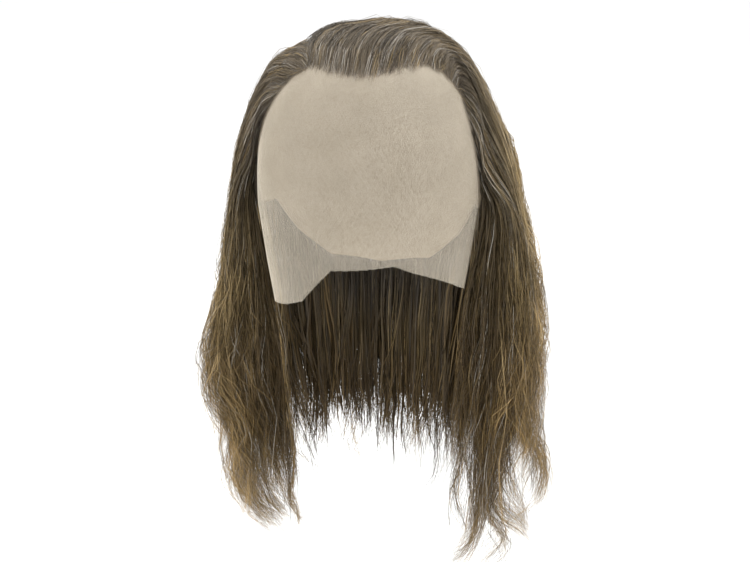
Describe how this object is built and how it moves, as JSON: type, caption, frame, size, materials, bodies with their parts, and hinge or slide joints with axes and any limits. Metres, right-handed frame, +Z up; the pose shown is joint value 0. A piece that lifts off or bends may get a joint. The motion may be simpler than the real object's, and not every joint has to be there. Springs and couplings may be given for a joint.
{
  "type": "lace front wig",
  "caption": "Long side-parted wig: locks of brown hair with grey strands on a hollow net cap, with an uncut sheer lace front below the hairline.",
  "frame": {"origin": "the crown of the wearer's head, where the inside of the cap rests on it", "axes": "+Z up, -Y towards the face, +X towards the viewer's right when facing the wig"},
  "size_m": [0.2672, 0.2159, 0.4274],
  "materials": {
    "cap_net": "fine beige net, matte",
    "lace": "sheer pale beige tulle, matte",
    "hair": "ash brown hair with grey strands, soft sheen"
  },
  "bodies": {
    "root": {"cap": "cap_net", "lace_front": "lace", "hair_left": "hair", "hair_right": "hair", "hair_back": "hair"}
  },
  "joints": []
}
